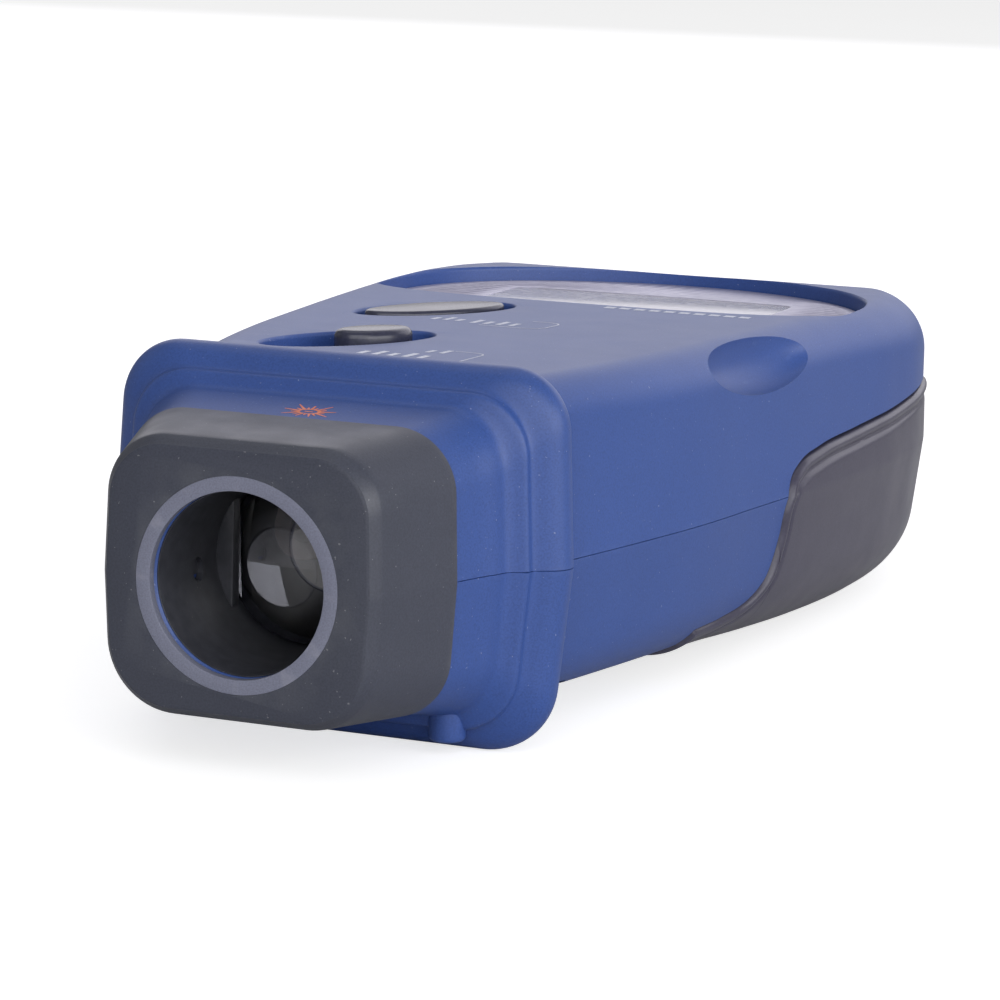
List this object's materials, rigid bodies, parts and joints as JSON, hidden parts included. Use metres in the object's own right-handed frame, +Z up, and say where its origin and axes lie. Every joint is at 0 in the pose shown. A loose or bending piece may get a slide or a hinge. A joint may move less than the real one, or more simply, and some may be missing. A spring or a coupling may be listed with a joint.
{
  "type": "laser distance meter",
  "caption": "Hand-held laser instrument: blue two-half housing with flared nose, dark aperture cap with ringed lens bore, top display, slide switch, keys, rubber side grips and battery door.",
  "frame": {"origin": "centre of the bounding box at its bottom, on the surface the instrument lies on", "axes": "+Y runs from the nose to the handle end, +Z points up out of the display, +X completes a right-handed frame, so the nose looks along -Y"},
  "size_m": [0.0744, 0.184, 0.0402],
  "materials": {
    "blue_plastic": "fine textured moulded blue plastic",
    "dark_plastic": "satin charcoal plastic",
    "ring_grey": "satin grey plastic ring",
    "grip_rubber": "smooth soft grip",
    "key_rubber": "matte rubber",
    "barrel_black": "matte black baffle",
    "lens_glass": "polished, coated",
    "bezel_silver": "satin silver-grey plastic",
    "window_clear": "clear acrylic window",
    "lcd_glass": "grey-green liquid crystal cell",
    "white_plastic": "moulded white plastic",
    "board_green": "solder-masked circuit board",
    "laser_brass": "turned brass",
    "battery_wrap": "printed cell wrap",
    "lead_red": "red wire insulation",
    "lead_black": "black wire insulation",
    "steel": "nickel-plated steel"
  },
  "bodies": {
    "housing": {"aperture_ring": "ring_grey", "battery_lead_1": "lead_black", "battery_lead_2": "lead_red", "battery_left": "battery_wrap", "battery_middle": "battery_wrap", "battery_right": "battery_wrap", "battery_spring_1": "steel", "battery_spring_2": "steel", "battery_spring_3": "steel", "board_screw_1": "steel", "board_screw_2": "steel", "board_screw_3": "steel", "board_screw_4": "steel", "connector_strip": "key_rubber", "contact_plate_front": "steel", "contact_plate_rear": "steel", "crystal": "steel", "display_bezel": "bezel_silver", "display_window": "window_clear", "grip_left": "grip_rubber", "grip_right": "grip_rubber", "housing_screw_1": "steel", "housing_screw_2": "steel", "housing_screw_3": "steel", "housing_screw_4": "steel", "key_board": "board_green", "laser_module": "laser_brass", "lcd_frame": "white_plastic", "lcd_glass": "lcd_glass", "lens_barrel": "barrel_black", "lens_retainer": "dark_plastic", "lower_housing": "blue_plastic", "main_board": "board_green", "measure_switch": "white_plastic", "memory_switch": "white_plastic", "microcontroller": "dark_plastic", "nose_cap": "dark_plastic", "objective_lens": "lens_glass", "photodiode": "dark_plastic", "sensor_board": "board_green", "sensor_cone": "barrel_black", "sensor_lead_1": "lead_black", "sensor_lead_2": "lead_black", "sensor_lead_3": "lead_black", "slide_switch": "white_plastic", "upper_housing": "blue_plastic"},
    "mode_slider": {"mode_slider": "dark_plastic"},
    "memory_key": {"memory_key": "dark_plastic"},
    "measure_key": {"measure_key": "key_rubber"},
    "battery_door": {"battery_door": "blue_plastic"}
  },
  "joints": [
    {"name": "mode_slide", "type": "slide", "parent": "housing", "child": "mode_slider", "axis": [0.5, 0.866, 0], "range_m": [-0.007, 0]},
    {"name": "memory_press", "type": "slide", "parent": "housing", "child": "memory_key", "axis": [0, 0, -1], "range_m": [0, 0.0008], "stiffness_N_per_m": 1200, "springref_m": -0.0002},
    {"name": "measure_press", "type": "slide", "parent": "housing", "child": "measure_key", "axis": [0, 0, -1], "range_m": [0, 0.0008], "stiffness_N_per_m": 1200, "springref_m": -0.0002},
    {"name": "door_slide", "type": "slide", "parent": "housing", "child": "battery_door", "axis": [0, 1, 0], "range_m": [0, 0.03]}
  ]
}
